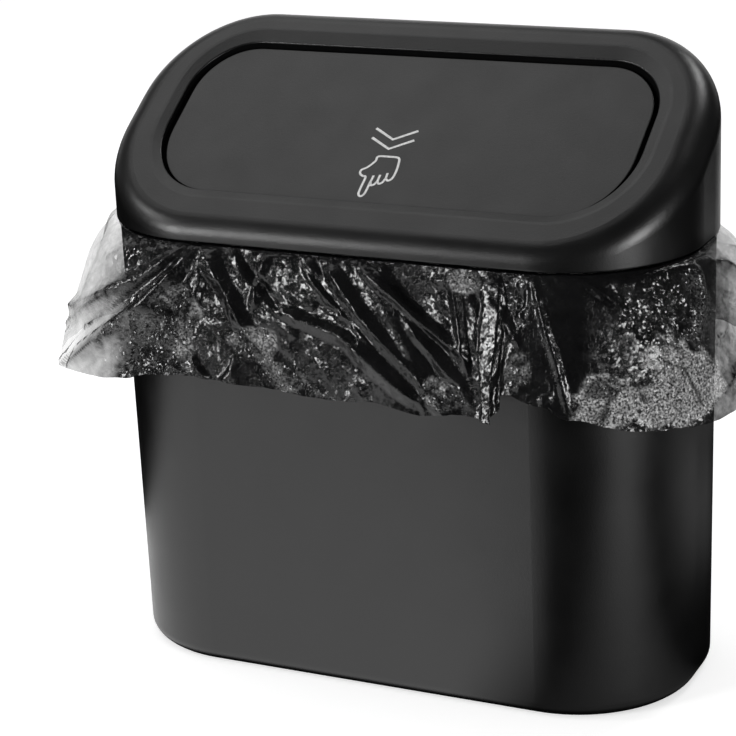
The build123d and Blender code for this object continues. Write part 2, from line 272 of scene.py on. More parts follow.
def colours(tree, source, first, second, start=NOISE_LOW, end=NOISE_HIGH):
    """Blends from a first to a second colour over a range of a factor."""
    node = add(tree, "ShaderNodeValToRGB", {"Fac": source})
    for element, position, colour in zip(node.color_ramp.elements, (start, end), (first, second)):
        element.position = position
        element.color = (*colour, 1)
    return node.outputs["Color"]


def bumped(tree, shader, height, distance, strength):
    bump = add(tree, "ShaderNodeBump", {"Height": height, "Distance": distance, "Strength": strength})
    tree.links.new(bump.outputs["Normal"], shader.inputs["Normal"])


# Plastic, steel and ink

# Reach of the painted shade in narrow gaps and inside corners in metres, and the range of occlusion over which
# it takes the reflection out
CREVICE = 0.004
CREVICE_SAMPLES = 8
CREVICE_FULL_SHADE = 0.62
CREVICE_NO_SHADE = 0.86
# Over how much depth and width the painted shade in the lid's opening fades in
DEPTH_FADE = 0.15
WIDTH_FADE = 0.5
# Noises of the plastic's colour and gloss, by scale and detail; of its grain, by detail and roughness, and
# how much finer the second grain is
CLOUDS = (38.0, 4.0)
SHEEN = (90.0, 5.0)
GRAIN = (2.0, 0.6)
GRAIN_STEP = 2.7

BLACK_LOW = (0.0025, 0.0025, 0.0026)
BLACK_HIGH = (0.004, 0.004, 0.0041)
LID_LOOK = {"rough": (0.31, 0.37), "grain": 1500.0, "depth": 0.00003, "level": 0.70}
TUB_LOOK = {"rough": (0.28, 0.34), "grain": 1700.0, "depth": 0.000022, "level": 0.78}
# Depths under the slope below which the frame's and the flap's walls in the opening lose their reflection:
# painted shade in the gap round the flap
FRAME_PAINTED_SHADE_UNDER = 1.0
FLAP_PAINTED_SHADE_UNDER = FLAP_DEPTH + 0.35

# Steels: colour and roughness
PIN_STEEL = ((0.56, 0.56, 0.57), 0.28)
SPRING_STEEL = ((0.36, 0.36, 0.37), 0.36)
# Their tarnish: its noise by scale and detail, how dark it is and how much it changes the roughness
TARNISH = (900.0, 4.0)
TARNISH_DARK = 0.6
TARNISH_ROUGH = (0.7, 1.3)

INK_NOISE = (1800.0, 3.0)
INK_LOW = (0.55, 0.55, 0.55)
INK_HIGH = (0.80, 0.80, 0.79)
INK_ROUGH = (0.45, 0.65)


def above(tree, depth):
    """1 on the lid's outside and 0 inside its opening, deeper than a depth under the slope: where the shade is
    painted.
    """
    place = object_place(tree)
    slope_normal = (0, -math.sin(SLOPE), math.cos(SLOPE))
    crest = -FRONT_Y * math.sin(SLOPE) + CREST_Z * math.cos(SLOPE)
    rise = vector_maths(tree, "DOT_PRODUCT", place, slope_normal)
    high = ramp(tree, rise, 0.0, 1.0, (crest - depth - DEPTH_FADE) * MM, (crest - depth) * MM)
    # Distance from the opening's rounded rectangle, less its corners' radius, seen from above
    middle = (OPENING_FRONT + OPENING_BACK) / 2
    half_x, half_y = OPENING_HALF - OPENING_RADIUS, OPENING_BACK - middle - OPENING_RADIUS
    off = vector_maths(tree, "SUBTRACT", place, (0, middle * MM, 0))
    off = vector_maths(tree, "ABSOLUTE", off)
    off = vector_maths(tree, "SUBTRACT", off, (half_x * MM, half_y * MM, 1))
    off = vector_maths(tree, "MAXIMUM", off, (0, 0, 0))
    away = vector_maths(tree, "LENGTH", off)
    outside = ramp(tree, away, 0.0, 1.0, OPENING_RADIUS * MM, (OPENING_RADIUS + WIDTH_FADE) * MM)
    return maths(tree, "MAXIMUM", high, outside)


def grained_plastic(name, rough, grain, depth, level, painted_shade_under=None):
    """Matte moulded plastic: a fine spark-eroded grain, faint flow clouds, uneven gloss, and painted shade that
    takes the reflection out of crevices.

    In the opening, deeper than a given depth under the slope, the lid's parts lose their reflection too:
    painted shade that makes the walls round the flap dark.
    """
    material, tree, shader = new_material(name)
    clouds = object_noise(tree, *CLOUDS)
    tree.links.new(colours(tree, clouds, BLACK_LOW, BLACK_HIGH), shader.inputs["Base Color"])
    sheen = object_noise(tree, *SHEEN)
    tree.links.new(noise_ramp(tree, sheen, *rough), shader.inputs["Roughness"])
    coarse = object_noise(tree, grain, *GRAIN)
    fine = object_noise(tree, grain * GRAIN_STEP, *GRAIN)
    bumped(tree, shader, maths(tree, "ADD", coarse, fine), depth, 1.0)
    # Painted shade: ambient occlusion takes the reflection out of narrow gaps and inside corners
    occlusion = add(tree, "ShaderNodeAmbientOcclusion", {"Distance": CREVICE}, samples=CREVICE_SAMPLES)
    gloss = ramp(tree, occlusion.outputs["AO"], 0.0, level, CREVICE_FULL_SHADE, CREVICE_NO_SHADE)
    # Painted shade in the lid's opening: no reflection on the walls there, so the gap round the flap renders
    # dark
    if painted_shade_under is not None:
        gloss = maths(tree, "MULTIPLY", gloss, above(tree, painted_shade_under))
    tree.links.new(gloss, shader.inputs["Specular IOR Level"])
    return material


def drawn_steel(name, colour, rough):
    """Drawn wire, bright with a little tarnish."""
    material, tree, shader = new_material(name)
    tarnish = object_noise(tree, *TARNISH)
    dark = tuple(TARNISH_DARK * c for c in colour)
    tree.links.new(colours(tree, tarnish, dark, colour), shader.inputs["Base Color"])
    uneven = noise_ramp(tree, tarnish, *(rough * share for share in TARNISH_ROUGH))
    tree.links.new(uneven, shader.inputs["Roughness"])
    shader.inputs["Metallic"].default_value = 1.0
    return material


def print_ink(name):
    """Pad-printed ink: off-white, slightly uneven where it lies over the grain."""
    material, tree, shader = new_material(name)
    cover = object_noise(tree, *INK_NOISE)
    tree.links.new(colours(tree, cover, INK_LOW, INK_HIGH), shader.inputs["Base Color"])
    tree.links.new(noise_ramp(tree, cover, *INK_ROUGH), shader.inputs["Roughness"])
    return material


# Film

# Noises of the smooth film's colour, the grain of the haze and its painted glints, the roughness and the light
# stopped: scale, detail and roughness
FILM_CLOUDS = (120.0, 3.0)
HAZE_GRAIN = (1700.0, 5.0, 0.7)
FILM_SHEEN = (260.0, 4.0)
FILM_WISPS = (420.0, 4.0)
SMOOTH_LOW = (0.002, 0.002, 0.0022)
SMOOTH_HIGH = (0.005, 0.005, 0.0053)
# Colour of the haze: partly the film's real whitening and partly painted highlight
HAZE_LOW = (0.004, 0.004, 0.004)
HAZE_AND_GLINT_HIGH = (0.70, 0.70, 0.70)
HAZE_RANGE = (0.42, 0.68)
FILM_ROUGH = (0.14, 0.26)
HAZE_ROUGH = 0.12
FILM_LEVEL = 0.64
# How much the light that the film stops varies
THICKNESS = 0.07
# Scale and tilt of the larger and the smaller crinkles
CRINKLE_CELLS = ((760.0, 0.9), (1700.0, 0.7))


def tilted_cells(tree, place, scale, tilt):
    """Height of small flat facets, each tilted its own way."""
    cells = add(
        tree, "ShaderNodeTexVoronoi",
        {"Vector": place, "Scale": scale, "Randomness": 1.0}, feature="F1",
    )
    across = vector_maths(tree, "SUBTRACT", place, cells.outputs["Position"])
    lean = vector_maths(tree, "SUBTRACT", cells.outputs["Color"], (0.5, 0.5, 0.5))
    return maths(tree, "MULTIPLY", vector_maths(tree, "DOT_PRODUCT", across, lean), tilt)


def thin_film(name):
    """Thin black film: glossy, crinkled in patches with haze and painted glints there, letting light through
    where it is one layer.
    """
    material, tree, shader = new_material(name)
    # Haze: partly real whitening of the crinkled film and partly painted glints, as a pale grain in the base
    # colour
    glint_and_haze = attribute(tree, "film_haze_and_glint")
    smooth = colours(tree, object_noise(tree, *FILM_CLOUDS), SMOOTH_LOW, SMOOTH_HIGH)
    haze = colours(tree, object_noise(tree, *HAZE_GRAIN), HAZE_LOW, HAZE_AND_GLINT_HIGH, *HAZE_RANGE)
    mix = add(tree, "ShaderNodeMix", {"Factor": glint_and_haze}, data_type="RGBA")
    colour_inputs = [socket for socket in mix.inputs if socket.type == "RGBA"]
    for source, socket in zip((smooth, haze), colour_inputs):
        tree.links.new(source, socket)
    colour = next(socket for socket in mix.outputs if socket.type == "RGBA")
    tree.links.new(colour, shader.inputs["Base Color"])
    uneven = noise_ramp(tree, object_noise(tree, *FILM_SHEEN), *FILM_ROUGH)
    rough = maths(tree, "ADD", uneven, ramp(tree, glint_and_haze, 0.0, HAZE_ROUGH))
    tree.links.new(rough, shader.inputs["Roughness"])
    wisp = noise_ramp(tree, object_noise(tree, *FILM_WISPS), -THICKNESS, THICKNESS)
    thick = maths(tree, "ADD", attribute(tree, "film_layers"), wisp, clamp=True)
    tree.links.new(thick, shader.inputs["Alpha"])
    place = object_place(tree)
    coarse, fine = (tilted_cells(tree, place, *cell) for cell in CRINKLE_CELLS)
    bumped(tree, shader, maths(tree, "ADD", coarse, fine), 1.0, attribute(tree, "film_crinkle"))
    shader.inputs["Specular IOR Level"].default_value = FILM_LEVEL
    return material


# Floor

FLOOR_REACH = 6.0
FLOOR_MOTTLE = (6.0, 3.0)
FLOOR_LOW = (0.90, 0.90, 0.90)
FLOOR_HIGH = (0.93, 0.93, 0.93)
FLOOR_ROUGH = 0.9
FLOOR_GLOW = 0.56
WHITE = (1, 1, 1, 1)
# Painted reflections, which glossy surfaces see on the floor in place of its shading: a pale patch behind the
# bin, and painted pools of light at the front and at the right; each by its centre, turn, half sizes, even
# share and strength, in metres and degrees
FLOOR_PATCHES = (
    ((-0.448, 1.514, 0.0), 115.5, (1.5, 0.240), 0.75, 1.0),
    ((-0.18, -0.27, 0.0), 64.0, (0.42, 0.152), 0.88, 1.0),
    ((0.24, -0.12, 0.0), -28.0, (0.24, 0.07), 0.3, 0.55),
    ((0.44, -0.24, 0.0), -28.0, (0.18, 0.12), 0.5, 1.0),
    ((0.20, 0.10, 0.0), -28.0, (0.13, 0.10), 0.3, 0.3),
)


def soft_patch(tree, place, centre, turn, reach, inner, strength):
    """A soft oval patch about a centre, turned about Z, from its full strength to none at its reach."""
    local = add(
        tree, "ShaderNodeMapping",
        {
            "Vector": place, "Location": centre,
            "Rotation": (0, 0, math.radians(turn)), "Scale": (*reach, reach[0]),
        },
        vector_type="TEXTURE",
    ).outputs[0]
    away = vector_maths(tree, "LENGTH", local)
    return ramp(tree, away, strength, 0.0, inner, 1.0)


def brightest(tree, first, second):
    return maths(tree, "MAXIMUM", first, second)


def pale_floor(name):
    """A matte white sweep that keeps the object's shadow; glossy surfaces see painted reflections on it: pale
    patches, dark elsewhere.
    """
    material, tree, shader = new_material(name)
    mottle = object_noise(tree, *FLOOR_MOTTLE)
    tree.links.new(colours(tree, mottle, FLOOR_LOW, FLOOR_HIGH), shader.inputs["Base Color"])
    shader.inputs["Roughness"].default_value = FLOOR_ROUGH
    path = add(tree, "ShaderNodeLightPath")
    shader.inputs["Emission Color"].default_value = WHITE
    glow = ramp(tree, path.outputs["Is Camera Ray"], 0.0, FLOOR_GLOW)
    tree.links.new(glow, shader.inputs["Emission Strength"])
    place = object_place(tree)
    # Painted reflections: pale emission patches that only glossy rays see
    lit = 0.0
    for patch_values in FLOOR_PATCHES:
        lit = brightest(tree, lit, soft_patch(tree, place, *patch_values))
    mirrored = add(tree, "ShaderNodeEmission", {"Color": WHITE, "Strength": lit})
    chosen = add(
        tree, "ShaderNodeMixShader",
        {0: path.outputs["Is Glossy Ray"], 1: shader.outputs[0], 2: mirrored.outputs[0]},
    )
    tree.links.new(chosen.outputs[0], tree.nodes["Material Output"].inputs["Surface"])
    return material


# Meshes


def new_object(name, data):
    made = bpy.data.objects.new(name, data)
    bpy.context.scene.collection.objects.link(made)
    return made


def new_piece(name, vertices, faces):
    """A mesh object, from vertices in metres."""
    mesh = bpy.data.meshes.new(name)
    mesh.from_pydata([tuple(v) for v in vertices], [], faces)
    mesh.validate()
    return new_object(name, mesh)


# Film bag

COLUMNS = 880
SKIRT_ROWS = 70
WALL_ROWS = 15
FLOOR_ROWS = 6

# The tub and the film's way over its rim
RIM_Z = 120.0
OVERHANG = 0.9
TUB_WALL = 2.0
FILM_AWAY = 0.35
WALL_OUT = -(OVERHANG + TUB_WALL + FILM_AWAY)
# The film's way over the rim: out from the lid's outline, above the rim, and whether it ripples there
OVER_THE_RIM = (
    (WALL_OUT, -1.6, False), (WALL_OUT + 0.12, 0.15, False), (WALL_OUT + 0.5, 0.42, True),
    (-OVERHANG, 0.42, True), (-OVERHANG + 0.45, 0.2, False),
)
RIM_RIPPLE = 0.12
RIM_NOISE = (5, 91)
SKIRT_START = -OVERHANG + 0.5

# The bag inside the tub
BAG_FLOOR_Z = 2.9
BAG_HEIGHT = RIM_Z - BAG_FLOOR_Z
BAG_DRAFT = math.tan(math.radians(0.5))
FLOOR_INSET = 2.4
FLOOR_MIDDLE = 44
MERGED_WITHIN = 0.25
FLOOR_SLACK = 1.0
FLOOR_NOISE = (14, 71)
FLOOR_NOISE_START = 40.0
FLOOR_NOISE_STEP = 9
WALL_FOOT = 1.4
WALL_SHORT = 6.0
WALL_AWAY = 0.25
WALL_NOISE_START = 60
WALL_NOISE_REACH = 112
# Slack of its wall: all over, in waves and in facets with their noises, at the wall's ends, and how it grows
SLACK = 1.3
SLACK_WAVES = 0.9
SLACK_WAVES_NOISE = (16, 31)
SLACK_FACETS = 0.6
SLACK_FACETS_NOISE = (9, 33)
SLACK_ENDS = 0.25
SLACK_START = 0.12
SLACK_POWER = 0.8

# The skirt round the bin: stations, how far it stands out at the hem and how far it hangs down
FLARE_STATIONS = (-190, -160, -135, -108, -90, -72, -47, -20, 0, 24, 45, 66, 90, 106, 135, 160, 190)
FLARE = (8, 9, 13, 16, 18.5, 15.5, 9.5, 8.5, 8.5, 8.5, 9, 9.5, 12, 14, 13, 10, 8)
DROP_STATIONS = (
    -185, -160, -135, -106, -85, -67, -47, -20, 5, 24, 42, 44.5, 52, 59, 70, 90, 106, 135, 160, 185,
)
DROP = (30, 31, 34, 36, 40, 36, 33, 34, 34.5, 35.5, 35.5, 27.5, 30, 34, 37, 38, 36, 36, 32, 30)
# Ragged hem: height, size and seed
HEM = ((0.9, 11, 51), (0.35, 3.1, 53))
# How fast the skirt flares at the front and how much slower at the sides, and how far it rises at the sides
FLARE_POWER = 0.74
FLARE_SIDES = 0.2
SIDE_RISE = 1.6
SIDE_RISE_SPEED = 2.2
# Noises here and below are given by size and seed.
# How the crumpling leans round the bin
LEAN_STATIONS = (-190, -120, -60, -40, 0, 60, 110, 190)
LEAN = (0.2, -0.3, -0.7, 0.5, 0.95, 0.4, 0.5, -0.2)
# How far the crumpling is warped, across and down
WARP = 2.2
WARP_ACROSS_NOISE = (15, 11)
WARP_DOWN_NOISE = (15, 13)
# How fast the crumpling grows below the rim
GROW_SPEED = 6
GROW_POWER = 0.7
# Crumpling: height, squeeze down the skirt, its noise, and whether it gathers in the busy stretches
CRUMPLE = ((2.3, 0.42, (12.5, 21), False), (0.85, 0.45, (5.6, 23), True), (0.28, 0.7, (2.6, 25), True))
# Busy stretches: how busy it is all over, in waves with their noise, and near the rim and how far down
BUSY = 0.55
BUSY_WAVES = 0.6
BUSY_NOISE = (15, 17)
BUSY_TOP = 0.5
BUSY_REACH = 7
# Shift along the skirt
SIDE_SHIFT = 1.1
SIDE_SQUEEZE = 0.5
SIDE_NOISE = (9.3, 61)
# Small gathers under the lid: height, squeeze, noise, and how fast they start and fade
GATHER = 0.5
GATHER_SQUEEZE = 0.2
GATHER_NOISE = (3.2, 41)
GATHER_START = 30
GATHER_FADE = 9
# How fast the folds start, and how far crinkled patches flatten the crumpling and from which strength on
FOLD_START = 12
CRINKLED_FLATTER = 0.6
CRINKLED_FROM = 0.3
CRINKLED_RANGE = 0.6
# How far the film may go inward, as a share of the flare, and how much of what goes beyond is kept
INWARD = 0.55
INWARD_POWER = 0.75
INWARD_MORE = 0.1
BEYOND_KEPT = 0.15

# How much of the light each stretch stops: one loose layer at the corners, doubled film elsewhere
LAYER_STATIONS = (-190, -140, -120, -104, -88, -76, -66, -58, 0, 60, 95, 112, 130, 150, 190)
LAYERS = (0.9, 0.6, 0.22, 0.20, 0.20, 0.24, 0.6, 0.95, 0.98, 0.98, 0.85, 0.4, 0.32, 0.7, 0.9)
WALL_STOPS = 0.95
CREASE_STOPS = 0.25
FOLD_STOPS = 0.13

# Pulled folds: across and down at both ends, height and width
FOLDS = (
    (-44, 1, -75, 38, 2.2, 3.2), (-47, 2, -86, 30, 1.6, 2.6), (-44, 3, -60, 36, -1.6, 3.0),
    (-40, 2, -27, 20, 1.8, 3.0), (-27, 20, -12, 33, 1.2, 3.0),
    (-30, 1, -20, 12, -1.6, 2.2), (-22, 1, -26, 12, 1.4, 2.0),
    (-12, 1, -3, 10, 1.8, 2.2), (-6, 1, 14, 22, 2.0, 2.6), (14, 22, 27, 33, 1.3, 2.6),
    (-18, 14, 0, 19, 1.5, 2.6), (0, 19, 22, 33, 1.8, 3.0),
    (3, 1, 32, 20, 1.8, 1.8), (12, 2, 20, 9, -1.4, 2.0), (18, 14, 33, 28, 1.6, 2.4),
    (28, 1, 33, 22, 1.8, 2.2), (24, 3, 37, 2, 1.6, 2.0),
    (34, 2, 45, 14, 1.4, 2.0), (50, 1, 58, 30, 1.1, 1.3), (62, 1, 70, 8, 1.3, 1.8),
    (92, 1, 88, 16, 1.8, 2.6), (-60, 11, -98, 31, 1.5, 3.0),
    (96, 30, 118, 14, 1.8, 3.0), (100, 3, 124, 22, 2.2, 3.5),
    (112, 2, 138, 30, 1.8, 3.0), (-100, 2, -96, 34, 1.4, 3.2), (-114, 2, -118, 32, 2.0, 3.4),
    (-132, 2, -126, 30, 1.8, 3.0), (-150, 2, -160, 28, 1.8, 3.0), (-172, 2, -166, 26, 1.6, 3.0),
    (-196, 2, -188, 28, 2.0, 3.0), (150, 2, 158, 28, 1.8, 3.0), (172, 2, 164, 27, 1.7, 3.0),
    (190, 2, 198, 28, 1.8, 3.0), (207, 2, 204, 26, 1.6, 2.8),
)
# Over which length a fold ends, and how narrow it is there
FOLD_FADE = 4
FOLD_TIP = 0.6

# Flat pleats: across and down of one edge at both ends, width, height of the other edge over it, and how far
# the pleat stands out at its foot
PLEATS = (
    (36.6, 2, 38.6, 34, 4.2, 0.55, 2.2), (-47, 1, -83, 37, 3.4, 0.6, 1.5), (-10, 4, 24, 33, 3.4, 0.5, 1.0),
)
# Width of a pleat's edge, how far its lines run on at both ends, and where it starts, ends and over what length
PLEAT_EDGE = 0.5
PLEAT_RUN_ON = 0.15
PLEAT_TOP = 3
PLEAT_FOOT = 6
PLEAT_FADE = 4
# How far a pleat calms the crumpling, to which half width, and over what width that ends, as shares of its own
PLEAT_CALM = 0.85
PLEAT_CALM_HALF = 0.62
PLEAT_CALM_FADE = 0.12

# Finely crinkled patches: across and down of the middle, half sizes, crinkling, and haze that is partly painted
# highlight
CRINKLED = (
    (-54, 26, 8, 7, 0.8, 0.2), (-46.5, 19, 4.5, 11, 1.0, 0.9), (-25, 23, 7, 4, 1.0, 0.8),
    (-16, 30, 6, 3, 1.0, 0.4), (27, 31, 6, 3.5, 1.0, 0.9), (31, 3, 5, 2.5, 0.9, 0.7),
    (47, 22, 2.5, 3, 0.7, 0.4), (78, 28, 12.5, 8.6, 1.0, 2.6), (83, 9, 14, 8, 0.75, 0.03),
    (89, 13, 4, 11, 0.4, 0.12), (-66, 8, 9, 8, 0.5, 0.1), (5, 30, 6, 5, 0.4, 0.06),
    (104, 12, 7, 9, 0.5, 0.12), (-132, 22, 10, 9, 0.6, 0.2), (-165, 20, 14, 9, 0.8, 0.35),
    (140, 24, 14, 9, 0.8, 0.35), (185, 20, 14, 9, 0.8, 0.35),
)
CRINKLED_SEED = 81
CRINKLE_LEAST = 0.22
# Streaks of the haze and its painted glints: level, and heights and noises of the broad and narrow ones; least
# share
STREAKS = 0.6
STREAKS_BROAD = (0.9, (5.0, 101))
STREAKS_NARROW = (0.7, (2.0, 103))
STREAKS_LEAST = 0.08
# Creases through the haze and its painted glints: noise, how wide and how dark
CREASES_NOISE = (6.0, 105)
CREASES_WIDTH = 0.28
CREASES_LEAST = 0.03
# Calm stretches, where the film hangs nearly flat: across and down of the middle, half sizes and share
CALM = (
    (62, 16, 9, 18, 0.8), (49, 18, 7, 18, 0.85), (-36, 24, 6, 14, 0.8), (-4, 24, 10, 10, 0.65),
    (84, 8, 22, 11, 0.85), (-88, 20, 16, 16, 0.5),
)
CALM_SEED = 87
# Edges of such patches: where they end, how soft, and how ragged by height and size
PATCH_END = 1.1
PATCH_SOFT = 0.16
PATCH_RAGGED = ((0.55, 8.0), (0.15, 2.2))


def fold_height(across, down):
    """Height of the pulled folds: sharp crests along straight lines."""
    height = np.zeros_like(across)
    for a0, d0, a1, d1, rise, width in FOLDS:
        away = wrapped(across - a0)
        run, fall = a1 - a0, d1 - d0
        length = math.hypot(run, fall)
        along = (away * run + (down - d0) * fall) / length
        off = (away * fall - (down - d0) * run) / length
        end = np.clip(np.minimum(along + FOLD_FADE, length + FOLD_FADE - along) / (2 * FOLD_FADE), 0, 1)
        crest = np.clip(1 - np.abs(off) / (width * (FOLD_TIP + (1 - FOLD_TIP) * end)), 0, 1)
        height += rise * crest * end
    return height


def pleat_height(across, down):
    """Height of the flat pleats, and how much of the crumpling they leave."""
    height = np.zeros_like(across)
    left = np.ones_like(across)
    for a0, d0, a1, d1, width, rise, lift in PLEATS:
        along = np.clip((down - d0) / (d1 - d0), -PLEAT_RUN_ON, 1 + PLEAT_RUN_ON)
        off = (wrapped(across - a0) - (a1 - a0) * along) / width
        end = np.clip(np.minimum(down - d0 + PLEAT_TOP, d1 + PLEAT_FOOT - down) / PLEAT_FADE, 0, 1)
        inside = np.clip((0.5 - np.abs(off - 0.5)) * width / PLEAT_EDGE + 1, 0, 1)
        height += inside * end * (rise * np.clip(off, 0, 1) + lift * np.clip(along, 0, 1))
        near = np.clip((PLEAT_CALM_HALF - np.abs(off - 0.5)) / PLEAT_CALM_FADE, 0, 1)
        left *= 1 - PLEAT_CALM * end * near
    return height, left


def patchy(across, down, patches, seed):
    """How far each point lies inside the patches, which have ragged, angular edges, and their other values."""
    (large, large_size), (small, small_size) = PATCH_RAGGED
    ragged = large * facets(across, down, large_size, seed) + small * facets(across, down, small_size, seed + 2)
    for middle, depth, reach, fall, *values in patches:
        distance = np.hypot(wrapped(across - middle) / reach, (down - depth) / fall) + ragged
        yield np.clip((PATCH_END - distance) / PATCH_SOFT, 0, 1), values


def crinkled(across, down):
    """How strongly the film is crinkled, and its haze and painted glints there."""
    strength = np.full_like(across, CRINKLE_LEAST)
    haze = np.zeros_like(across)
    for inside, (rise, white) in patchy(across, down, CRINKLED, CRINKLED_SEED):
        strength = np.maximum(strength, rise * inside)
        haze = np.maximum(haze, white * inside)
    (broad, broad_noise), (narrow, narrow_noise) = STREAKS_BROAD, STREAKS_NARROW
    streaks = STREAKS + broad * facets(across + 0.4 * down, down, *broad_noise)
    streaks = streaks + narrow * facets(across, 0.8 * down, *narrow_noise)
    creases = np.abs(facets(across - 0.5 * down, down, *CREASES_NOISE)) / CREASES_WIDTH
    kept = np.clip(streaks, STREAKS_LEAST, 1) * np.clip(creases, CREASES_LEAST, 1)
    return strength, np.clip(haze * kept, 0, 1)


def calm(across, down):
    """Share of the crumpling that the calm stretches leave."""
    left = np.ones_like(across)
    for inside, (share,) in patchy(across, down, CALM, CALM_SEED):
        left *= 1 - share * inside
    return left


def bag_inside(across, ring):
    """Rows of the bag in the tub: its floor from the middle outward, then its slack wall upward."""
    foot = ring(WALL_OUT - BAG_HEIGHT * BAG_DRAFT - FLOOR_INSET, BAG_FLOOR_Z)
    middle = foot * (0, 0, 1)
    middle[:, 0] = np.clip(foot[:, 0], -FLOOR_MIDDLE, FLOOR_MIDDLE)
    rows = [middle]
    for k in range(1, FLOOR_ROWS):
        t = k / FLOOR_ROWS
        row = middle * (1 - t) + foot * t
        down = np.full(COLUMNS, FLOOR_NOISE_START + FLOOR_NOISE_STEP * k)
        row[:, 2] += FLOOR_SLACK * (1 + smooth_noise(across, down, *FLOOR_NOISE))
        rows.append(row)
    for k in range(WALL_ROWS):
        t = k / (WALL_ROWS - 1)
        z = BAG_FLOOR_Z + WALL_FOOT + (BAG_HEIGHT - WALL_SHORT) * t
        slack = SLACK_ENDS
        if 0 < t < 1:
            down = np.full(COLUMNS, WALL_NOISE_START + WALL_NOISE_REACH * t)
            waves = SLACK_WAVES * smooth_noise(across, down, *SLACK_WAVES_NOISE)
            slack = SLACK + waves + SLACK_FACETS * facets(across, down, *SLACK_FACETS_NOISE)
            grown = SLACK_START + (1 - SLACK_START) * t
            slack = slack * math.sin(math.pi * grown ** SLACK_POWER) ** 0.5
        rows.append(ring(WALL_OUT - (RIM_Z - z) * BAG_DRAFT - WALL_AWAY - np.abs(slack), z))
    return rows


def plain_skirt(across, normal, ring, drop):
    """The skirt's rows before it is crumpled, and its outward directions."""
    flare = round_the_bin(FLARE_STATIONS, FLARE, across)
    side = np.abs(normal[:, 0])
    rows = []
    for k in range(SKIRT_ROWS + 1):
        t = k / SKIRT_ROWS
        out = SKIRT_START + flare * t ** (FLARE_POWER - FLARE_SIDES * side)
        rising = math.sin(math.pi * min(1.0, SIDE_RISE_SPEED * t))
        rows.append(ring(out, RIM_Z - drop * t + SIDE_RISE * side * rising))
    base = np.array(rows)
    down_step = np.gradient(base, axis=0)
    side_step = np.roll(base, -1, axis=1) - np.roll(base, 1, axis=1)
    outward = np.cross(side_step, down_step)
    outward /= np.linalg.norm(outward, axis=2, keepdims=True)
    outward *= np.sign((outward[:, :, :2] * normal[None]).sum(2))[:, :, None]
    return base, outward


def crumpled_skirt(across, normal, ring):
    """The skirt's rows, and how crinkled it is, its haze and painted glints, and how much light it stops."""
    level = np.ones(COLUMNS)
    drop = round_the_bin(DROP_STATIONS, DROP, across)
    for height, size, seed in HEM:
        drop = drop + height * facets(across, level, size, seed)
    base, outward = plain_skirt(across, normal, ring, drop)

    share = (np.arange(SKIRT_ROWS + 1) / SKIRT_ROWS)[:, None]
    down = share * drop[None]
    around = across[None] + np.zeros_like(down)
    lean = round_the_bin(LEAN_STATIONS, LEAN, around)
    warp_a = around - lean * down + WARP * facets(around, down, *WARP_ACROSS_NOISE)
    warp_d = down + WARP * facets(around, down, *WARP_DOWN_NOISE)
    grown = np.clip(share * GROW_SPEED, 0, 1) ** GROW_POWER
    busy = BUSY + BUSY_WAVES * smooth_noise(around, down, *BUSY_NOISE) + BUSY_TOP * np.exp(-down / BUSY_REACH)
    busy = np.clip(busy, 0, 1)
    crumple = 0.0
    for height, squeeze, noise, gathers in CRUMPLE:
        crumple = crumple + height * (busy if gathers else 1.0) * facets(warp_a, warp_d * squeeze, *noise)
    gather = GATHER * facets(around, GATHER_SQUEEZE * down, *GATHER_NOISE)
    gather = gather * np.exp(-share * GATHER_FADE) * np.clip(share * GATHER_START, 0, 1)
    rise = fold_height(around, down) * np.clip(share * FOLD_START, 0, 1)
    patches, haze = crinkled(around, down)
    pleats, left = pleat_height(around, down)
    flattened = CRINKLED_FLATTER * np.clip((patches - CRINKLED_FROM) / CRINKLED_RANGE, 0, 1)
    out_shift = grown * crumple * (left * (1 - flattened) * calm(around, down)) + rise * left + gather + pleats
    least = -INWARD * round_the_bin(FLARE_STATIONS, FLARE, around) * share ** INWARD_POWER - INWARD_MORE
    out_shift = np.maximum(out_shift, least + BEYOND_KEPT * (out_shift - least))
    along_shift = grown * SIDE_SHIFT * facets(warp_a, warp_d * SIDE_SQUEEZE, *SIDE_NOISE)
    sideways = np.stack([-normal[:, 1], normal[:, 0], np.zeros(COLUMNS)], 1)[None]
    skirt = base + outward * out_shift[:, :, None] + sideways * along_shift[:, :, None]

    bend = np.zeros_like(down)
    bend[1:-1] = np.abs(out_shift[2:] + out_shift[:-2] - 2 * out_shift[1:-1])
    bend += np.abs(np.roll(out_shift, 1, 1) + np.roll(out_shift, -1, 1) - 2 * out_shift)
    folded = CREASE_STOPS * bend + FOLD_STOPS * np.abs(rise)
    stops = np.clip(round_the_bin(LAYER_STATIONS, LAYERS, around) + folded, 0, 1)
    return skirt, patches, haze, stops


def film_surface():
    """The film's points, row by row from the bag's floor to the skirt's hem, and its look at each point."""
    across = np.arange(COLUMNS) * LENGTH / COLUMNS
    place, normal = outline(across)

    def ring(out, z):
        """A row of points, at a distance out from the lid's outline and at a height."""
        out, z = np.broadcast_to(out, COLUMNS), np.broadcast_to(z, COLUMNS)
        return np.concatenate([place + out[:, None] * normal, z[:, None]], 1)

    rows = bag_inside(across, ring)
    ripple = RIM_RIPPLE * smooth_noise(across, np.ones(COLUMNS), *RIM_NOISE)
    for out, z, rippled in OVER_THE_RIM:
        rows.append(ring(out, RIM_Z + z + ripple * rippled))
    skirt, *looks = crumpled_skirt(across, normal, ring)
    inner = np.ones((len(rows), COLUMNS))
    crinkles, hazes, stops = (
        np.concatenate([inner * value, look]) for value, look in zip((CRINKLE_LEAST, 0.0, WALL_STOPS), looks)
    )
    return np.concatenate([rows, skirt]), {"film_layers": stops, "film_crinkle": crinkles, "film_haze_and_glint": hazes}


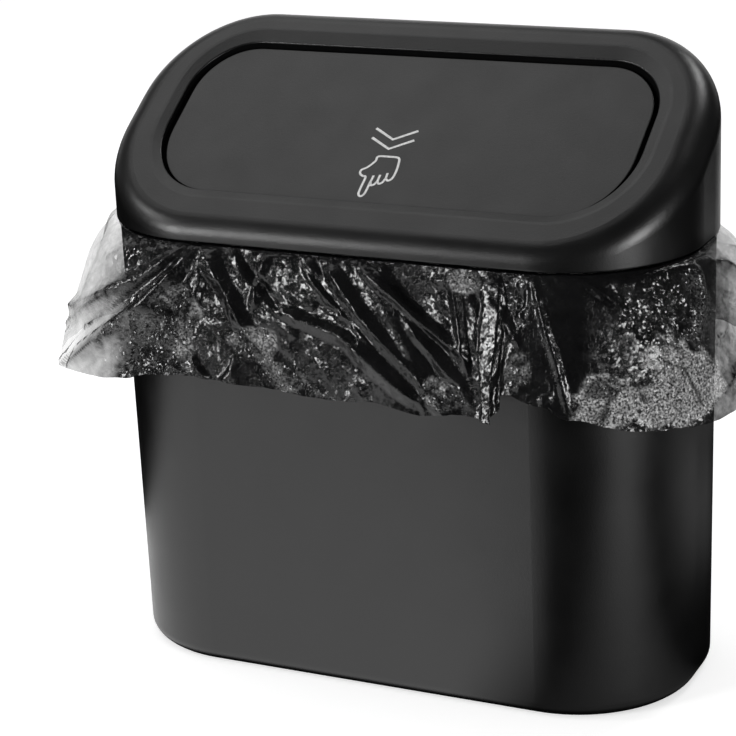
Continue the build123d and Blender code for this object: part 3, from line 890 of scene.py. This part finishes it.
def tube_faces(rings, count):
    """The quads between closed rings of count points each."""
    faces = []
    for start in range(0, (rings - 1) * count, count):
        for k in range(count):
            a, b = start + k, start + (k + 1) % count
            faces.append((a, b, b + count, a + count))
    return faces


def film_bag():
    points, looks = film_surface()
    film = new_piece("film_bag", points.reshape(-1, 3) * MM, tube_faces(len(points), COLUMNS))
    mesh = film.data
    for name, values in looks.items():
        layer = mesh.attributes.new(name, "FLOAT", "POINT")
        layer.data.foreach_set("value", values.ravel().astype(np.float32))
    merge_middle(mesh)
    for polygon in mesh.polygons:
        polygon.use_smooth = True
    return film


def merge_middle(mesh):
    """Joins the points where the bag's floor closes along its middle."""
    work = bmesh.new()
    work.from_mesh(mesh)
    low = [v for v in work.verts if v.index < COLUMNS]
    bmesh.ops.remove_doubles(work, verts=low, dist=MERGED_WITHIN * MM)
    work.to_mesh(mesh)
    work.free()


# Marks on the flap

INK_LIFT = 0.05
INK_SINK = 0.02
HAND_PLACE = (-0.75, 15.8)
HAND_WIDTH = 0.62
HAND = (
    (-2.0, 14.1), (1.0, 14.3), (3.8, 14.0), (4.5, 11.6), (4.7, 8.8), (4.4, 6.7), (3.5, 6.0), (2.75, 6.6),
    (2.3, 5.3), (1.5, 4.7), (0.8, 5.4), (0.3, 4.4), (-0.5, 4.0), (-1.0, 5.0), (-1.05, 2.8), (-1.25, 0.8),
    (-2.0, 0.0), (-2.8, 0.8), (-2.95, 3.2), (-2.95, 6.6), (-3.9, 7.0), (-4.9, 7.8), (-5.0, 9.0), (-3.9, 9.9),
    (-2.9, 11.2), (-2.2, 12.6),
)
KNUCKLES = (((-1.0, 5.0), (-0.9, 7.4)), ((0.8, 5.4), (0.8, 7.8)), ((2.75, 6.6), (2.6, 8.6)))
CHEVRON_PLACE = (-0.9, 32.8)
CHEVRON_COUNT = 2
CHEVRON_PITCH = 3.4
CHEVRON_HALF = 6.0
CHEVRON_HEIGHT = 3.6
CHEVRON_WIDTH = 0.75


def flap_point(u, v, lift):
    """A point on the flap: u across, v up the slope from the lid's front edge, lifted off the surface."""
    depth = FLAP_DEPTH - lift
    y = FRONT_Y + v * math.cos(SLOPE) + depth * math.sin(SLOPE)
    z = CREST_Z + v * math.sin(SLOPE) - depth * math.cos(SLOPE)
    return (u * MM, y * MM, z * MM)


def smooth_loop(points, steps=6):
    """A closed curve through the points, by Catmull-Rom steps."""
    count = len(points)
    out = []
    for i in range(count):
        p0, p1, p2, p3 = (points[(i + k) % count] for k in (-1, 0, 1, 2))
        for k in range(steps):
            t = k / steps
            out.append(0.5 * (
                2 * p1 + (p2 - p0) * t + (2 * p0 - 5 * p1 + 4 * p2 - p3) * t * t
                + (3 * p1 - p0 - 3 * p2 + p3) * t ** 3
            ))
    return out


def stroke(vertices, faces, line, width, closed):
    """Adds a thin flat stroke of ink along a line on the flap."""
    count = len(line)
    base = len(vertices)
    for i, point in enumerate(line):
        before = line[i - 1] if closed or i > 0 else point
        after = line[(i + 1) % count] if closed or i + 1 < count else point
        direction = (after - before).normalized()
        side = Vector((-direction.y, direction.x)) * (width / 2)
        for edge in (point + side, point - side):
            vertices.append(flap_point(edge.x, edge.y, INK_LIFT))
            vertices.append(flap_point(edge.x, edge.y, -INK_SINK))
    spans = count if closed else count - 1
    for i in range(spans):
        a = base + 4 * i
        b = base + 4 * ((i + 1) % count)
        faces += [
            (a, b, b + 2, a + 2), (a + 1, a + 3, b + 3, b + 1),
            (a, a + 1, b + 1, b), (a + 2, b + 2, b + 3, a + 3),
        ]
    if not closed:
        last = base + 4 * (count - 1)
        faces += [(base, base + 2, base + 3, base + 1), (last, last + 1, last + 3, last + 2)]


def mark(name, place, lines, width):
    """A mark of strokes, each a line and whether it is a smooth closed one."""
    vertices, faces = [], []
    for points, closed in lines:
        line = [Vector((place[0] + u, place[1] + v)) for u, v in points]
        stroke(vertices, faces, smooth_loop(line) if closed else line, width, closed)
    return new_piece(name, vertices, faces)


def pressing_hand():
    """A plain pointing hand, its finger down the slope."""
    lines = [(HAND, True)] + [(line, False) for line in KNUCKLES]
    return mark("flap_mark_hand", HAND_PLACE, lines, HAND_WIDTH)


def press_chevrons():
    """Wide plain chevrons one above the other, pointing down the slope."""
    lines = []
    for index in range(CHEVRON_COUNT):
        low = index * CHEVRON_PITCH
        high = low + CHEVRON_HEIGHT
        lines.append((((-CHEVRON_HALF, high), (0, low), (CHEVRON_HALF, high)), False))
    return mark("flap_mark_chevrons", CHEVRON_PLACE, lines, CHEVRON_WIDTH)


# Return springs, built at rest; the real coils wind up as the flap turns: sizes as in the part

joints = {joint["name"]: joint for joint in frame["record"]["behaviour"]["joints"]}
HINGE_X, HINGE_Y, HINGE_Z = (value / MM for value in joints["flap_hinge"]["pos_m"])
COIL_START = 38.3
COIL_RADIUS = 1.95
COIL_PITCH = 1.2
COIL_TURNS = 5
WIRE_RADIUS = 0.3
FRAME_LEG = 13.0
FLAP_LEG = 12.0
COIL_STEPS = 24
LEG_STEPS = 6
WIRE_SIDES = 10


def spring_line():
    """The wire's middle, by places along the slope, off it and along the axis: frame leg, coil, flap leg."""
    turn = 2 * math.pi
    coil = []
    for step in range(COIL_TURNS * COIL_STEPS + 1):
        angle = turn * step / COIL_STEPS
        coil.append(Vector((
            -COIL_RADIUS * math.sin(angle), COIL_RADIUS * math.cos(angle), COIL_PITCH * angle / turn,
        )))
    along = Vector((-COIL_RADIUS, 0, COIL_PITCH / turn)).normalized()
    frame_leg = [coil[0] - along * FRAME_LEG * (1 - k / LEG_STEPS) for k in range(LEG_STEPS)]
    flap_leg = [coil[-1] + along * FLAP_LEG * (k + 1) / LEG_STEPS for k in range(LEG_STEPS)]
    return frame_leg + coil + flap_leg


def wire(name, line):
    """A round wire along a line in metres."""
    vertices = []
    across = None
    for index, point in enumerate(line):
        ahead = line[min(index + 1, len(line) - 1)] - line[max(index - 1, 0)]
        ahead.normalize()
        across = ahead.orthogonal() if across is None else across - ahead * across.dot(ahead)
        across.normalize()
        third = ahead.cross(across)
        for k in range(WIRE_SIDES):
            angle = 2 * math.pi * k / WIRE_SIDES
            away = across * math.cos(angle) + third * math.sin(angle)
            vertices.append(point + away * WIRE_RADIUS * MM)
    faces = tube_faces(len(line), WIRE_SIDES)
    faces.append(tuple(reversed(range(WIRE_SIDES))))
    faces.append(tuple(range(len(vertices) - WIRE_SIDES, len(vertices))))
    made = new_piece(name, vertices, faces)
    for polygon in made.data.polygons:
        polygon.use_smooth = len(polygon.vertices) == 4
    return made


def return_spring(side):
    """A torsion spring, one leg under the frame's ledge and one under the flap, and its coil's two ends."""
    line = []
    for along, off, across in spring_line():
        line.append(Vector((
            side * (HINGE_X + COIL_START + across),
            HINGE_Y + along * math.cos(SLOPE) - off * math.sin(SLOPE),
            HINGE_Z + along * math.sin(SLOPE) + off * math.cos(SLOPE),
        )) * MM)
    spring = wire("spring_wire_right" if side > 0 else "spring_wire_left", line)
    ends = (COIL_START, COIL_START + COIL_PITCH * COIL_TURNS)
    start, end = (tuple(Vector((side * x, HINGE_Y, HINGE_Z)) * MM) for x in ends)
    return spring, start, end


# Put together

frame_plastic = grained_plastic("lid_plastic_frame", **LID_LOOK, painted_shade_under=FRAME_PAINTED_SHADE_UNDER)
flap_plastic = grained_plastic("lid_plastic_flap", **LID_LOOK, painted_shade_under=FLAP_PAINTED_SHADE_UNDER)
tub_plastic = grained_plastic("tub_plastic", **TUB_LOOK)
steel = drawn_steel("steel", *PIN_STEEL)
spring_steel = drawn_steel("spring_steel", *SPRING_STEEL)
film_material = thin_film("film")
ink = print_ink("print_ink")

finishes = {
    "bin_body": tub_plastic,
    "rear_clip": tub_plastic,
    "lid_frame": frame_plastic,
    "push_flap": flap_plastic,
    "hinge_pin_left": steel,
    "hinge_pin_right": steel,
}
for node_name, finish in finishes.items():
    slots = nodes[node_name].data.materials
    slots.clear()
    slots.append(finish)

film = film_bag()
film.data.materials.append(film_material)
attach(film, "bin")
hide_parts("bin_liner")

for side, node_name in ((-1, "return_spring_left"), (1, "return_spring_right")):
    spring, coil_start, coil_end = return_spring(side)
    spring.data.materials.append(spring_steel)
    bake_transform(spring)
    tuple(coil_start)
    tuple(coil_end)
    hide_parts(node_name)

for printed in (pressing_hand(), press_chevrons()):
    printed.data.materials.append(ink)
    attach(printed, "flap")


# Studio, in metres and watts

LAMP_TARGET = (0, 0, 0.1)
# Lamps: place, width and height, power
LAMPS = {
    "overhead": ((-0.44, 0.21, 1.06), (0.80, 0.70), 1.76),
    "front_left": ((-0.71, -0.91, 0.38), (0.26, 0.34), 5.0),
    "right_low": ((0.88, -0.36, 0.17), (0.28, 0.30), 3.6),
    "spark_left": ((-1.0, -0.45, 0.80), (0.12, 0.12), 1.8),
    "behind": ((0.30, 0.70, 1.0), (0.3, 0.3), 2.0),
}
# Pale patch of the backdrop that glossy surfaces see: centre, turn, half sizes, even share and strength
BACKDROP = ((-0.43, 0.90, 0.0), 0.0, (0.75, 0.75), 0.45, 1.0)
# Strength of the rest of the world in reflections, and as light on matte surfaces
WORLD_GLOSS = 0.03
WORLD_LIGHT = 0.35

CAMERA_PLACE = (0.2572, -0.5664, 0.2884)
CAMERA_RIGHT = (0.9070, 0.4194, -0.0389)
CAMERA_BACK = (0.4091, -0.8552, 0.3181)
SENSOR_WIDTH = 36.0
FOCAL_LENGTH = 118.83
CAMERA_CLIP = (0.05, 50.0)


def studio_floor():
    corners = [(x * FLOOR_REACH, y * FLOOR_REACH, 0) for x, y in ((-1, -1), (1, -1), (1, 1), (-1, 1))]
    floor = new_piece("floor", corners, [(0, 1, 2, 3)])
    floor.data.materials.append(pale_floor("floor_white"))


def area_light(name, place, size, power):
    data = bpy.data.lights.new(name, "AREA")
    data.shape = "RECTANGLE"
    data.size, data.size_y = size
    data.energy = power
    lamp = new_object(name, data)
    lamp.location = place
    lamp.rotation_mode = "QUATERNION"
    lamp.rotation_quaternion = (Vector(LAMP_TARGET) - Vector(place)).to_track_quat("-Z", "Y")


def studio_world():
    """White behind the object, dim in reflections but for one patch, and a little light from all sides."""
    world = bpy.data.worlds.new("studio")
    world.use_nodes = True
    bpy.context.scene.world = world
    tree = world.node_tree
    background = tree.nodes["Background"]
    rays = add(tree, "ShaderNodeLightPath").outputs
    direction = add(tree, "ShaderNodeTexCoord").outputs["Generated"]
    backdrop = soft_patch(tree, direction, *BACKDROP)
    mirrored = brightest(tree, backdrop, ramp(tree, rays["Is Glossy Ray"], 0.0, WORLD_GLOSS))
    gloss = maths(tree, "MULTIPLY", rays["Is Glossy Ray"], mirrored)
    seen = brightest(tree, rays["Is Camera Ray"], rays["Is Transmission Ray"])
    shown = brightest(tree, seen, gloss)
    strength = brightest(tree, shown, ramp(tree, rays["Is Diffuse Ray"], 0.0, WORLD_LIGHT))
    background.inputs["Color"].default_value = WHITE
    tree.links.new(strength, background.inputs["Strength"])


def studio_camera():
    data = bpy.data.cameras.new("camera")
    data.sensor_width = SENSOR_WIDTH
    data.lens = FOCAL_LENGTH
    data.clip_start, data.clip_end = CAMERA_CLIP
    camera = new_object("camera", data)
    right = Vector(CAMERA_RIGHT).normalized()
    back = Vector(CAMERA_BACK).normalized()
    up = back.cross(right).normalized()
    right = up.cross(back)
    turn = Matrix((right, up, back)).transposed().to_4x4()
    camera.matrix_world = Matrix.Translation(CAMERA_PLACE) @ turn
    bpy.context.scene.camera = camera


studio_floor()
for lamp_name, lamp_values in LAMPS.items():
    area_light(lamp_name, *lamp_values)
studio_world()
studio_camera()
bpy.context.scene.view_settings.view_transform = "Standard"
